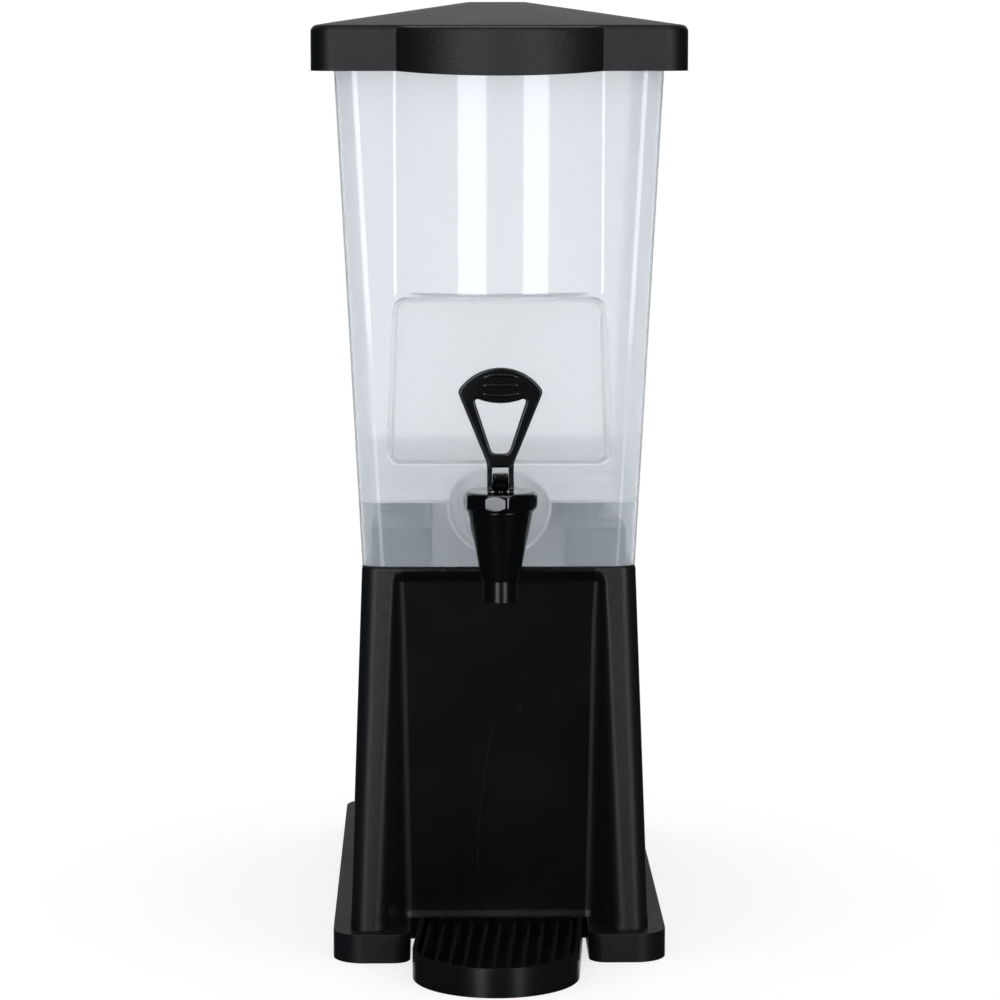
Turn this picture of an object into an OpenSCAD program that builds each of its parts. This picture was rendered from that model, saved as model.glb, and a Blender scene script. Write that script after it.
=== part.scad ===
// Slim juice dispenser: a translucent container with a lid and a lever tap, on a stand with a drip tray.
// Sizes are in millimetres. +Z is up, the tap faces -Y, and the origin lies on the ground under the
// middle of the whole object.

/* [Stand] */
// Height of the deck that carries the container
deck_h = 231; // [200:1:280]
// Width of the stand at its deck
deck_w = 161; // [150:1:190]
// Depth of the stand at its deck
deck_d = 319; // [280:1:370]
// How far each side of the stand leans out between deck and plinth
leg_flare_x = 7.5; // [3:0.5:12]
// How far the front and the back of the stand lean out between deck and plinth
leg_flare_y = 18.5; // [12:0.5:26]
// Rounding of the stand's upright corners
stand_corner_r = 12; // [6:0.5:16]
// Wall of the stand
stand_wall = 3; // [2:0.25:4]
// Height of the plinth
plinth_h = 17; // [14:0.5:22]
// Width of the ledge round the plinth
plinth_ledge = 10; // [6:0.5:14]
// Rounding of the plinth's outer corners
plinth_corner_r = 18; // [10:0.5:24]
// Rounding of the two feet beside the tray
foot_round = 10; // [4:0.5:14]

/* [Cup niche] */
// Height of the band above the niche
niche_band = 6; // [4:0.5:14]
// Width of the niche's back wall at its top
niche_top_w = 110; // [100:1:116]
// Width of the niche's back wall at the plinth
niche_low_w = 105; // [100:1:116]
// Angle of the niche's splayed sides
niche_splay = 22; // [12:1:30]
// Depth of the niche at its top
niche_top_depth = 8; // [4:0.5:12]
// Depth of the niche at the plinth
niche_depth = 33; // [24:0.5:40]

/* [Locating posts] */
// Width of a post on the deck
post_w = 36; // [26:0.5:38]
// Depth of a post
post_d = 46; // [26:1:60]
// Height of a post
post_h = 22; // [12:0.5:26]
// Rounding of a post's corners
post_r = 6; // [2:0.5:10]
// Room between a post and the container's skirt
post_gap = 2.5; // [1:0.25:4]

/* [Drip tray] */
// Room on each side of the tray in its bay
tray_side_gap = 4.1; // [3.5:0.1:8]
// How far the tray stands out ahead of the plinth
tray_reach = 78; // [64:0.5:90]
// How far the tray runs back behind the front of the plinth
tray_back = 55; // [48:0.5:70]
// Height of the tray
tray_h = 17; // [14:0.5:22]
// Wall of the tray
tray_wall = 2.5; // [1.5:0.25:3.5]
// Floor of the tray
tray_floor = 2.5; // [1.5:0.25:3.5]
// Number of ribs in the tray
rib_count = 11; // [5:2:13]
// Spacing of the ribs
rib_pitch = 8.4; // [6:0.1:9]
// Thickness of a rib
rib_t = 1.8; // [1.2:0.1:2.6]
// How far the ribs end below the tray's rim
rib_drop = 2; // [1:0.25:5]
// Turn of the loose tray in its bay
tray_turn = 3.5; // [0:0.25:4]
// Shift of the loose tray's round front to the left
tray_shift = 2.7; // [2:0.1:4]
// Width of the bay that takes the tray
bay_w = 105; // [90:0.5:110]
// Room above the tray's rim under the niche
tray_gap = 0.4; // [0.3:0.05:0.9]

/* [Container] */
// Height of the container from its skirt to its rim
tank_h = 311; // [270:1:360]
// How far each wall leans out between skirt and rim
tank_flare = 15.8; // [10:0.2:22]
// Wall of the container
tank_wall = 3; // [2:0.25:4]
// Rounding of the container's upright corners
tank_corner_r = 14; // [8:0.5:20]
// Height of the floor's upper face above the skirt's edge
floor_h = 39.5; // [36.5:0.5:48]
// Thickness of the floor
floor_t = 3; // [2:0.25:4]
// Width of the bowed upper front
bow_w = 116; // [100:1:130]
// How far the bow stands out
bow_reach = 22; // [12:0.5:28]
// Height of the bow's underside above the skirt's edge
bow_low = 159; // [140:1:190]
// Width of the recessed panel under the bow, at its top
panel_top_w = 119; // [104:1:126]
// Width of the recessed panel at its bottom
panel_bottom_w = 127; // [112:1:132]
// Height of the panel's lower edge above the skirt's edge
panel_low = 61.5; // [56:0.5:80]
// Depth of the panel
panel_depth = 6; // [2:0.5:10]
// Rounding of the panel's corners
panel_corner_r = 8; // [4:0.5:12]
// Width of the rim's flange
rim_w = 5; // [3:0.25:6]
// Thickness of the rim's flange
rim_t = 3.5; // [2.5:0.25:5]
// Inside radius of the drain scoop at the front wall
scoop_r = 29; // [27:0.5:30]
// Length of the drain scoop
scoop_l = 146; // [100:1:180]
// Radius of the round stubs under the floor
stub_r = 9.5; // [6:0.5:12]
// Room between a stub and its post
stub_gap = 0.4; // [0.3:0.05:0.9]

/* [Lid] */
// Height of the lid's skirt
lid_skirt = 25; // [16:0.5:36]
// Wall of the lid
lid_wall = 3; // [2:0.25:4]
// Room between the container's rim and the lid's skirt
lid_gap = 3.7; // [2.5:0.1:5]
// Rounding of the lid's upright corners
lid_corner_r = 14; // [9:0.5:20]
// How much wider the lid's bow is than the container's on each side
lid_bow_extra = 1; // [0.5:0.25:6]
// Width of the level border round the raised top
lid_border = 3; // [2:0.5:8]
// Height of the step round the raised top
lid_step = 1; // [0.6:0.1:2]
// Rise of the hipped top above its step
lid_rise = 13; // [6:0.5:20]
// Width of the flat ridge
ridge_w = 33; // [16:1:60]

/* [Tap body] */
// How far the shank's axis lies below the container's floor
shank_drop = 13; // [11:0.5:14]
// Distance from the container's tap pad to the spout's axis
tap_reach = 40; // [36:0.5:60]
// Radius of the flat pad that the tap is clamped to
pad_r = 19; // [18:0.5:22]
// Height of the pad on each side of the wall
pad_t = 2; // [1.5:0.25:3]
// Radius of the shank
shank_r = 9.5; // [8.5:0.25:10]
// Clearance round the shank in the wall
shank_clear = 0.3; // [0.2:0.05:0.6]
// How far the shank reaches past its nut
shank_extra = 4; // [1:0.5:8]
// Radius of the neck between spout and flange
neck_r = 11; // [10.5:0.25:12]
// Radius of the flange
flange_r = 17; // [14:0.5:17.5]
// Thickness of the flange
flange_t = 4; // [2.5:0.25:6]
// Inside radius of the shank
inlet_r = 6; // [4:0.25:6.5]
// Radius of the spout's cylindrical tip
tip_r = 9.9; // [9:0.1:10.2]
// Length of the spout's tip
tip_l = 12.3; // [6:0.1:20]
// Radius of the cone at its lower end
cone_low_r = 10.8; // [10.2:0.1:12]
// Radius of the cone at its upper end
cone_top_r = 18.5; // [17:0.1:19]
// Depth of the cone's lower end below the shank's axis
cone_low = 27.5; // [24:0.5:34]
// Height of the cone's upper end above the shank's axis
cone_high = 10.5; // [9:0.5:14]
// Radius of the ledge on which the bonnet sits
ledge_r = 19.2; // [18:0.1:20]
// Thickness of that ledge
ledge_t = 2.8; // [1.5:0.1:4]
// Radius of the outlet
outlet_r = 6.5; // [5:0.25:7]
// Depth of the valve seat below the shank's axis
seat_low = 11.5; // [10:0.5:14]
// Radius of the valve chamber at its seat
seat_r = 10.5; // [9.5:0.1:11]
// Radius of the valve chamber
chamber_r = 12.5; // [12:0.1:13]
// Thickness of the gaskets on both sides of the wall
gasket_t = 2.5; // [1.5:0.25:4]
// Radius of the gaskets
gasket_r = 15.5; // [13:0.25:17]
// Width of the shank's nut across its corners
nut_w = 31; // [27:0.5:32]
// Thickness of the shank's nut
nut_t = 8; // [5:0.5:12]

/* [Tap bonnet and valve] */
// Radius of the ten-sided bonnet over its corners
bonnet_r = 21.6; // [20.5:0.1:24]
// Height of the bonnet
bonnet_h = 10.7; // [9:0.1:14]
// Thickness of the bonnet's top
bonnet_t = 3; // [2:0.25:4]
// Chamfer round the bonnet's top
bonnet_chamfer = 2.4; // [1:0.1:3]
// Turn of the bonnet's flats away from the front
bonnet_turn = 8; // [0:1:35]
// Outside radius of the thread under the bonnet
thread_r = 15.5; // [15:0.1:16]
// Clearance round the thread
thread_clear = 0.1; // [0.05:0.05:0.3]
// Radius of the stem
stem_r = 3.7; // [3:0.1:4]
// Clearance of the stem in the bonnet
stem_clear = 0.08; // [0.03:0.01:0.1]
// Height of the stem above its pin
stem_top = 7.3; // [4:0.1:8]
// Radius of the stem's foot
foot_r = 6.4; // [6:0.1:6.8]
// Thickness of the stem's foot
foot_t = 2; // [1:0.25:3]
// Thickness of the seat cup's sides and rim
cup_t = 1.2; // [0.8:0.1:1.6]
// Thickness of the plug at the seat cup's lower end
plug_t = 4; // [3:0.25:5]
// Radius of the plug
plug_r = 8.4; // [8.2:0.1:9]
// Radius of the seat cup under its rim
cup_top_r = 11.6; // [10.5:0.1:11.8]
// Diameter of the spring's wire
wire_d = 1.2; // [0.8:0.1:1.6]
// Radius of the spring at the middle of its wire
coil_r = 5.2; // [5:0.1:5.6]
// Turns of the spring
coil_turns = 7; // [4:1:9]

/* [Tap handle] */
// Height of the handle's pin above the bonnet
pin_h = 3; // [2.6:0.1:4]
// Radius of the pin
pin_r = 1.5; // [1:0.1:1.8]
// Clearance of the pin in the fork
pin_clear = 0.05; // [0.02:0.01:0.1]
// Thickness of the handle
handle_t = 5; // [4:0.25:6]
// Width of the fork
fork_w = 15.3; // [13:0.1:18]
// Gap between the legs of the fork
fork_gap = 9.3; // [8.6:0.1:10]
// Height of the closed end of the fork's gap above the pin
fork_high = 11; // [10:0.1:13]
// Height above the pin at which the handle starts to widen
loop_low = 13.5; // [13:0.1:20]
// Width of the handle where it starts to widen
loop_low_w = 16.6; // [15:0.1:20]
// Width of the handle across the ends of its grip
grip_w = 49; // [40:0.5:60]
// Height of those ends above the pin
grip_h = 54.2; // [46:0.2:64]
// Height of the top of the grip above its ends
grip_rise = 13.6; // [10:0.2:20]
// Height of the grip's lower edge, at its middle, below its ends
grip_sag = 6.8; // [4:0.2:10]
// Curve of the grip's lower edge
grip_low_r = 35; // [30:1:60]
// Width of the side bars at the top of the finger hole
bar_top_w = 8; // [6:0.2:12]
// Height of the finger hole's lower edge above the pin
hole_low = 18.4; // [17:0.2:24]
// Width of the finger hole at its lower edge
hole_low_w = 9.4; // [6:0.2:11]
// Width of the ribs on the grip
grip_rib_w = 22; // [12:0.5:28]
// Thickness of a grip rib
grip_rib_t = 1.5; // [1:0.1:2.5]
// Height of a grip rib above the grip's face
grip_rib_h = 0.7; // [0.3:0.1:1.2]
// Spacing of the grip ribs
grip_rib_pitch = 5.2; // [4:0.1:7]
// Travel of the pin for each radian that the handle turns
cam_k = 5; // [4:0.25:6]
// How far the handle turns forward
handle_travel = 45; // [30:1:50]
// Room between the fork's foot and the bonnet
cam_gap = 0.2; // [0.1:0.05:0.4]

/* [Hidden] */

$fn = 64;
hull_fn = 32;
skin = 0.01;
over = 1;

foot_w = deck_w + 2 * leg_flare_x;
foot_d = deck_d + 2 * leg_flare_y;
plinth_w = foot_w + 2 * plinth_ledge;
plinth_d = foot_d + 2 * plinth_ledge;
// The tray reaches ahead of the stand, so the stand's middle lies half that far behind the origin.
body_y = tray_reach / 2;
plinth_front = body_y - plinth_d / 2;
bay_h = tray_h + tray_gap;
tray_w = bay_w - 2 * tray_side_gap;

niche_top = deck_h - niche_band;
post_x = deck_w / 2 - tank_wall - post_gap - post_w / 2;
post_y = deck_d / 2 - tank_wall - post_gap - post_d / 2;
stub_x = post_x - post_w / 2 + stub_r;

tank_lean = atan(tank_flare / tank_h);
tank_top_w = deck_w + 2 * tank_flare;
tank_top_d = deck_d + 2 * tank_flare;
bow_r = arc_radius(bow_w, bow_reach);
rim_z = deck_h + tank_h;
lid_out = rim_w + lid_gap + lid_wall;
lid_w = tank_top_w + 2 * lid_out;
lid_d = tank_top_d + 2 * lid_out;
lid_bow_r = arc_radius(bow_w + 2 * lid_bow_extra, bow_reach);
roof_w = lid_w - 2 * lid_border;
roof_d = lid_d - 2 * lid_border;
roof_corner_r = min(lid_corner_r - lid_border, 0.4 * ridge_w);

// Places on the tap, measured from the crossing of the shank's axis and the spout's axis.
shank_h = floor_h - shank_drop;
pad_front = -tank_d(shank_h) / 2 - pad_t;
pad_l = tank_wall + 2 * pad_t;
tap_y = pad_front - tap_reach;
tip_end = cone_low + tip_l;
ledge_top = cone_high + ledge_t;
bonnet_top = ledge_top + bonnet_h;
bonnet_under = bonnet_top - bonnet_t;
thread_top = bonnet_under - cup_t;
cup_floor = plug_t - seat_low;
foot_top = cup_floor + foot_t;
pin_z = bonnet_top + pin_h;
flange_y = tap_reach - gasket_t;
shank_l = tap_reach + pad_l + gasket_t + nut_t + shank_extra;
coil_low = foot_top + wire_d / 2;
coil_high = bonnet_under - wire_d / 2;
cam_r = pin_h - cam_gap;

echo(coil_gap = (coil_high - coil_low) / coil_turns - wire_d);

function arc_radius(chord, rise) = (chord * chord / 4 + rise * rise) / (2 * rise);
function stand_w(z) = deck_w + 2 * leg_flare_x * (deck_h - z) / (deck_h - plinth_h);
function stand_d(z) = deck_d + 2 * leg_flare_y * (deck_h - z) / (deck_h - plinth_h);
function tank_w(h) = deck_w + 2 * tank_flare * h / tank_h;
function tank_d(h) = deck_d + 2 * tank_flare * h / tank_h;

// Moves a shape from the middle of the stand to its place behind the origin.
module on_stand() {
    translate([0, body_y, 0])
        children();
}

// Moves a shape from the skirt's edge of the container to its place on the deck.
module on_deck() {
    translate([0, body_y, deck_h])
        children();
}

// Moves a shape from the crossing of the tap's two axes to its place on the container.
module on_tap() {
    translate([0, body_y + tap_y, deck_h + shank_h])
        children();
}

// Turns a cylinder so that it runs towards the back, from distance y behind the spout's axis.
module along_shank(y) {
    translate([0, y, 0])
        rotate([-90, 0, 0])
            children();
}

module rounded_rect(w, d, r) {
    square([w - 2 * r, d], center = true);
    square([w, d - 2 * r], center = true);
    for (x = [-1, 1], y = [-1, 1])
        translate([x * (w / 2 - r), y * (d / 2 - r)])
            circle(r);
}

// A rectangle with a bowed front, used for the container's rim and for the lid.
module bowed_rect(w, d, r, arc_r, arc_y) {
    rounded_rect(w, d, r);
    intersection() {
        translate([0, arc_y])
            circle(arc_r);
        translate([-w / 2, -d])
            square([w, d / 2 + r]);
    }
}

// A box whose rounded outline changes evenly between two heights.
module tapered_box(z0, w0, d0, z1, w1, d1, r) {
    hull() {
        translate([0, 0, z0])
            linear_extrude(skin)
                rounded_rect(w0, d0, r, $fn = hull_fn);
        translate([0, 0, z1 - skin])
            linear_extrude(skin)
                rounded_rect(w1, d1, r, $fn = hull_fn);
    }
}

// The stand

module stand_block(z0, z1, inset) {
    tapered_box(
        z0, stand_w(z0) - 2 * inset, stand_d(z0) - 2 * inset,
        z1, stand_w(z1) - 2 * inset, stand_d(z1) - 2 * inset,
        stand_corner_r
    );
}

// Plan of the niche at one height: its back wall lies depth behind the front, and its sides splay.
module niche_plan(back_w, front, depth, grow) {
    back = back_w / 2 + grow;
    mouth = back + (depth + grow + niche_depth) * tan(niche_splay);
    polygon([
        [-mouth, front - niche_depth], [mouth, front - niche_depth],
        [back, front + depth + grow], [-back, front + depth + grow]
    ]);
}

module niche(grow) {
    hull() {
        translate([0, 0, plinth_h - grow])
            linear_extrude(skin)
                niche_plan(niche_low_w, -foot_d / 2, niche_depth, grow);
        translate([0, 0, niche_top + grow - skin])
            linear_extrude(skin)
                niche_plan(niche_top_w, -stand_d(niche_top) / 2, niche_top_depth, grow);
    }
}

module plinth_plan(inset) {
    rounded_rect(plinth_w - 2 * inset, plinth_d - 2 * inset, plinth_corner_r - inset);
}

module stand_hollow() {
    difference() {
        union() {
            stand_block(-over, deck_h - stand_wall, stand_wall);
            translate([0, 0, -over])
                linear_extrude(plinth_h - stand_wall + over)
                    plinth_plan(stand_wall);
        }
        niche(stand_wall);
    }
}

// Way of the tray between the two feet, with rounded corners at its mouth.
module tray_bay() {
    mouth = -plinth_d / 2;
    bay_l = tray_back + stand_wall;
    translate([0, 0, -over])
        linear_extrude(bay_h + over) {
            translate([-bay_w / 2, mouth - over])
                square([bay_w, bay_l + over]);
            for (side = [-1, 1])
                translate([side * (bay_w + foot_round) / 2, mouth + (foot_round - over) / 2])
                    difference() {
                        square([foot_round, foot_round + over], center = true);
                        translate([side * foot_round / 2, (foot_round + over) / 2])
                            circle(foot_round);
                    }
        }
}

// Walls of the two feet beside the tray.
module bay_walls() {
    for (side = [-1, 1])
        translate([side * (bay_w + foot_round) / 2, -plinth_d / 2 + tray_back / 2, 0])
            linear_extrude(plinth_h)
                square([foot_round, tray_back], center = true);
}

module post(x, y) {
    translate([x * post_x, y * post_y, deck_h - stand_wall])
        linear_extrude(post_h + stand_wall)
            rounded_rect(post_w, post_d, post_r);
}

module base_housing() {
    color([0.05, 0.05, 0.055])
        on_stand() {
            difference() {
                union() {
                    difference() {
                        union() {
                            stand_block(0, deck_h, 0);
                            linear_extrude(plinth_h)
                                plinth_plan(0);
                        }
                        stand_hollow();
                    }
                    bay_walls();
                }
                niche(0);
                tray_bay();
            }
            for (x = [-1, 1], y = [-1, 1])
                post(x, y);
        }
}

// The drip tray

module tray_plan(inset) {
    back_y = tray_reach + tray_back - tray_w / 2;
    circle(tray_w / 2 - inset);
    translate([-tray_w / 2 + inset, 0])
        square([tray_w - 2 * inset, back_y - inset]);
}

module tray_ribs() {
    rib_h = tray_h - rib_drop;
    intersection() {
        linear_extrude(rib_h)
            tray_plan(tray_wall / 2);
        for (i = [0 : rib_count - 1])
            translate([(i - (rib_count - 1) / 2) * rib_pitch - rib_t / 2, -tray_w, 0])
                cube([rib_t, tray_w + tray_reach + tray_back, rib_h]);
    }
}

module drip_tray() {
    color([0.06, 0.06, 0.065])
        translate([-tray_shift, plinth_front - tray_reach + tray_w / 2, 0])
            rotate([0, 0, -tray_turn]) {
                difference() {
                    linear_extrude(tray_h)
                        tray_plan(0);
                    translate([0, 0, tray_floor])
                        linear_extrude(tray_h)
                            tray_plan(tray_wall);
                }
                tray_ribs();
            }
}

// The container

module tank_block(h0, h1, inset) {
    tapered_box(
        h0, tank_w(h0) - 2 * inset, tank_d(h0) - 2 * inset,
        h1, tank_w(h1) - 2 * inset, tank_d(h1) - 2 * inset,
        tank_corner_r - inset
    );
}

// Stands a shape on the leaning front wall: its Z runs up the wall and its Y runs into the container.
module on_front() {
    translate([0, -deck_d / 2, 0])
        rotate([tank_lean, 0, 0])
            children();
}

module tank_bow(inset, top) {
    intersection() {
        on_front()
            translate([0, 0, bow_low + inset])
                linear_extrude(tank_h)
                    intersection() {
                        translate([0, bow_r - bow_reach])
                            circle(bow_r - inset);
                        translate([-bow_w, -bow_w])
                            square([2 * bow_w, bow_w + tank_corner_r]);
                    }
        translate([-tank_top_w, -tank_top_d, 0])
            cube([2 * tank_top_w, 2 * tank_top_d, top]);
    }
}

module panel_recess(grow) {
    r = panel_corner_r;
    rows = [[panel_low + r, panel_bottom_w / 2 - r], [bow_low - r, panel_top_w / 2 - r]];
    on_front()
        hull()
            for (row = rows, side = [-1, 1])
                translate([side * row[1], -panel_depth, row[0]])
                    rotate([-90, 0, 0])
                        cylinder(r = r + grow, h = 2 * panel_depth + grow, $fn = hull_fn);
}

// Half an egg that lies along +Y with its blunt end at the front wall.
module scoop(grow) {
    steps = 12;
    r = scoop_r + grow;
    l = scoop_l + grow;
    rotate([-90, 0, 0])
        rotate_extrude()
            polygon([
                [0, 0],
                for (i = [0 : steps]) [r * cos(90 * i / steps), l * sin(90 * i / steps)]
            ]);
}

module scoop_shell() {
    depth = scoop_r + tank_wall + over;
    intersection() {
        translate([0, tank_wall / 2 - deck_d / 2, floor_h - floor_t])
            scoop(tank_wall);
        translate([-deck_w / 2, -deck_d / 2, floor_h - floor_t / 2 - depth])
            cube([deck_w, deck_d, depth]);
    }
}

module tank_rim() {
    translate([0, 0, tank_h - rim_t])
        linear_extrude(rim_t)
            bowed_rect(
                tank_top_w + 2 * rim_w, tank_top_d + 2 * rim_w, tank_corner_r + rim_w,
                bow_r + rim_w, bow_r - bow_reach - tank_top_d / 2
            );
}

module tank_stub(x, y) {
    low = post_h + stub_gap;
    translate([x * stub_x, y * post_y, low])
        cylinder(r = stub_r, h = floor_h - floor_t / 2 - low);
}

module container() {
    color([0.86, 0.89, 0.92, 0.55])
        on_deck()
            difference() {
                union() {
                    difference() {
                        union() {
                            difference() {
                                tank_block(0, tank_h, 0);
                                panel_recess(0);
                            }
                            tank_bow(0, tank_h);
                            tank_rim();
                        }
                        difference() {
                            union() {
                                tank_block(floor_h, tank_h + over, tank_wall);
                                tank_bow(tank_wall, tank_h + over);
                            }
                            panel_recess(tank_wall);
                        }
                        tank_block(-over, floor_h - floor_t, tank_wall);
                    }
                    scoop_shell();
                    translate([0, pad_front, shank_h])
                        along_shank(0)
                            cylinder(r = pad_r, h = pad_l);
                    for (x = [-1, 1], y = [-1, 1])
                        tank_stub(x, y);
                }
                translate([0, pad_front + pad_l, floor_h - floor_t])
                    scoop(0);
                translate([0, pad_front - over, shank_h])
                    along_shank(0)
                        cylinder(r = shank_r + shank_clear, h = pad_l + 2 * over);
            }
}

// The lid

module lid_plan(inset) {
    bowed_rect(
        lid_w - 2 * inset, lid_d - 2 * inset, lid_corner_r - inset,
        lid_bow_r - inset, lid_bow_r - bow_reach - lid_d / 2
    );
}

// Hipped roof with the same pitch on all four sides, from one height to another.
module lid_roof(low, high, inset) {
    tapered_box(
        low, roof_w - 2 * inset, roof_d - 2 * inset,
        high, ridge_w, roof_d - roof_w + ridge_w,
        roof_corner_r
    );
}

module lid() {
    edge = lid_wall + lid_step;
    color([0.04, 0.04, 0.045])
        on_stand()
            translate([0, 0, rim_z])
                difference() {
                    union() {
                        translate([0, 0, lid_wall - lid_skirt])
                            linear_extrude(lid_skirt)
                                lid_plan(0);
                        linear_extrude(edge)
                            rounded_rect(roof_w, roof_d, roof_corner_r);
                        lid_roof(edge - skin, edge + lid_rise, 0);
                    }
                    translate([0, 0, -lid_skirt])
                        linear_extrude(lid_skirt)
                            lid_plan(lid_wall);
                    lid_roof(-over, lid_step + lid_rise, lid_wall);
                }
}

// The tap

module tap_shell() {
    rotate_extrude()
        polygon([
            [0, -tip_end], [tip_r, -tip_end], [tip_r, -cone_low], [cone_low_r, -cone_low],
            [cone_top_r, cone_high], [ledge_r, cone_high], [ledge_r, ledge_top],
            [thread_r, ledge_top], [thread_r, thread_top], [0, thread_top]
        ]);
    along_shank(0)
        rotate_extrude()
            polygon([
                [0, 0], [neck_r, 0], [neck_r, flange_y - flange_t], [flange_r, flange_y - flange_t],
                [flange_r, flange_y], [shank_r, flange_y], [shank_r, shank_l], [0, shank_l]
            ]);
}

module tap_passage() {
    rotate_extrude()
        polygon([
            [0, -tip_end - over], [outlet_r, -tip_end - over], [outlet_r, -seat_low],
            [seat_r, -seat_low], [chamber_r, -inlet_r - over],
            [chamber_r, thread_top + over], [0, thread_top + over]
        ]);
    along_shank(0)
        cylinder(r = inlet_r, h = shank_l + over);
}

module tap_body() {
    color([0.03, 0.03, 0.033])
        on_tap()
            difference() {
                tap_shell();
                tap_passage();
            }
}

module tap_bonnet() {
    color([0.035, 0.035, 0.038])
        on_tap()
            difference() {
                intersection() {
                    translate([0, 0, ledge_top])
                        rotate([0, 0, -bonnet_turn])
                            cylinder(r = bonnet_r, h = bonnet_h, $fn = 10);
                    rotate_extrude()
                        polygon([
                            [0, ledge_top], [bonnet_r, ledge_top], [bonnet_r, bonnet_top - bonnet_chamfer],
                            [bonnet_r - bonnet_chamfer, bonnet_top], [0, bonnet_top]
                        ]);
                }
                translate([0, 0, ledge_top - over])
                    cylinder(r = thread_r + thread_clear, h = bonnet_under - ledge_top + over);
                translate([0, 0, bonnet_under - over])
                    cylinder(r = stem_r + stem_clear, h = bonnet_t + 2 * over);
            }
}

// Moves a shape from the handle's pin to its place on the tap.
module on_pin() {
    on_tap()
        translate([0, 0, pin_z])
            children();
}

module cross_pin(r, l) {
    rotate([0, 90, 0])
        cylinder(r = r, h = l, center = true);
}

module tap_stem() {
    color([0.04, 0.04, 0.043])
        difference() {
            on_tap() {
                translate([0, 0, cup_floor])
                    cylinder(r = foot_r, h = foot_t);
                translate([0, 0, cup_floor])
                    cylinder(r = stem_r, h = pin_z + stem_top - cup_floor);
            }
            on_pin()
                cross_pin(pin_r, fork_w);
        }
}

module handle_pin() {
    color([0.62, 0.63, 0.65])
        on_pin()
            cross_pin(pin_r, fork_w);
}

module trapezoid(low_half, low, high_half, high) {
    polygon([[-low_half, low], [low_half, low], [high_half, high], [-high_half, high]]);
}

// Front outline of the handle, measured from its pin.
module handle_front() {
    arc_r = arc_radius(grip_w, grip_rise);
    widen = (grip_w - loop_low_w) / 2 / (grip_h - loop_low);
    top = grip_h + grip_rise;
    half_top = loop_low_w / 2 + widen * (top - loop_low);
    difference() {
        intersection() {
            trapezoid(loop_low_w / 2, loop_low, half_top, top);
            translate([0, top - arc_r])
                circle(arc_r);
        }
        handle_hole();
    }
    translate([-fork_w / 2, fork_high])
        square([fork_w, loop_low - fork_high + skin]);
}

// Finger hole under the grip, whose upper edge follows the grip's curve.
module handle_hole() {
    half_top = grip_w / 2 - bar_top_w;
    difference() {
        trapezoid(hole_low_w / 2, hole_low, half_top, grip_h);
        translate([0, grip_h - grip_sag + grip_low_r])
            circle(grip_low_r);
    }
}

// Side outline of a fork leg: its toe is an involute, so the stem rises evenly as the handle turns.
module fork_side() {
    steps = 9;
    circle(cam_r);
    translate([-handle_t / 2, 0])
        square([handle_t, fork_high + skin]);
    polygon([
        [0, -cam_r],
        for (i = [0 : steps]) toe_point(handle_travel * i / steps),
        [-handle_t / 2, cam_k], [0, cam_k]
    ]);
}

function toe_point(turn) =
    let (drop = cam_r + cam_k * turn * PI / 180)
    [-cam_k * cos(turn) - drop * sin(turn), cam_k * sin(turn) - drop * cos(turn)];

module grip_ribs() {
    middle = grip_h + (grip_rise - grip_sag) / 2;
    bend = arc_radius(grip_w, grip_rise);
    for (i = [-1 : 1])
        intersection() {
            translate([-grip_rib_w / 2, grip_h - grip_rise])
                square([grip_rib_w, 3 * grip_rise]);
            translate([0, middle + i * grip_rib_pitch])
                if (i == 0)
                    square([grip_rib_w, grip_rib_t], center = true);
                else
                    translate([0, -i * bend])
                        difference() {
                            circle(bend + grip_rib_t / 2);
                            circle(bend - grip_rib_t / 2);
                        }
        }
}

module tap_handle() {
    leg_t = (fork_w - fork_gap) / 2;
    color([0.03, 0.03, 0.033])
        on_pin()
            difference() {
                union() {
                    translate([0, handle_t / 2, 0])
                        rotate([90, 0, 0])
                            linear_extrude(handle_t)
                                handle_front();
                    translate([0, -handle_t / 2 + skin, 0])
                        rotate([90, 0, 0])
                            linear_extrude(grip_rib_h + skin)
                                grip_ribs();
                    for (side = [-1, 1])
                        translate([side * (fork_w - leg_t) / 2 - leg_t / 2, 0, 0])
                            rotate([90, 0, 90])
                                linear_extrude(leg_t)
                                    fork_side();
                }
                cross_pin(pin_r + pin_clear, fork_w + 2 * over);
            }
}

module seat_cup() {
    color([0.82, 0.80, 0.76])
        on_tap()
            rotate_extrude()
                polygon([
                    [0, -seat_low], [plug_r, -seat_low], [plug_r, cup_floor], [cup_top_r, thread_top],
                    [thread_r, thread_top], [thread_r, bonnet_under], [cup_top_r - cup_t, bonnet_under],
                    [cup_top_r - cup_t, thread_top], [plug_r - cup_t, cup_floor], [0, cup_floor]
                ]);
}

// Round wire wound into a helix, as rings of points joined by triangles.
module stem_spring() {
    sides = 6;
    rings_per_turn = 12;
    rings = coil_turns * rings_per_turn;
    points = [
        for (i = [0 : rings], j = [0 : sides - 1])
            let (
                turn = 360 * i / rings_per_turn,
                around = 360 * j / sides,
                r = coil_r + wire_d / 2 * cos(around),
                z = coil_low + (coil_high - coil_low) * i / rings
            )
            [r * cos(turn), r * sin(turn), z + wire_d / 2 * sin(around)]
    ];
    walls = [
        for (i = [0 : rings - 1], j = [0 : sides - 1], half = [0, 1])
            let (
                a = i * sides + j,
                b = i * sides + (j + 1) % sides
            )
            half == 0 ? [a, a + sides, b] : [b, a + sides, b + sides]
    ];
    start = [for (j = [1 : sides - 2]) [0, j, j + 1]];
    end = [for (j = [1 : sides - 2]) [rings * sides, rings * sides + j + 1, rings * sides + j]];
    color([0.7, 0.71, 0.73])
        on_tap()
            polyhedron(points, concat(walls, start, end));
}

module washer(r, hole_r, t) {
    difference() {
        cylinder(r = r, h = t);
        translate([0, 0, -over])
            cylinder(r = hole_r, h = t + 2 * over);
    }
}

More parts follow.
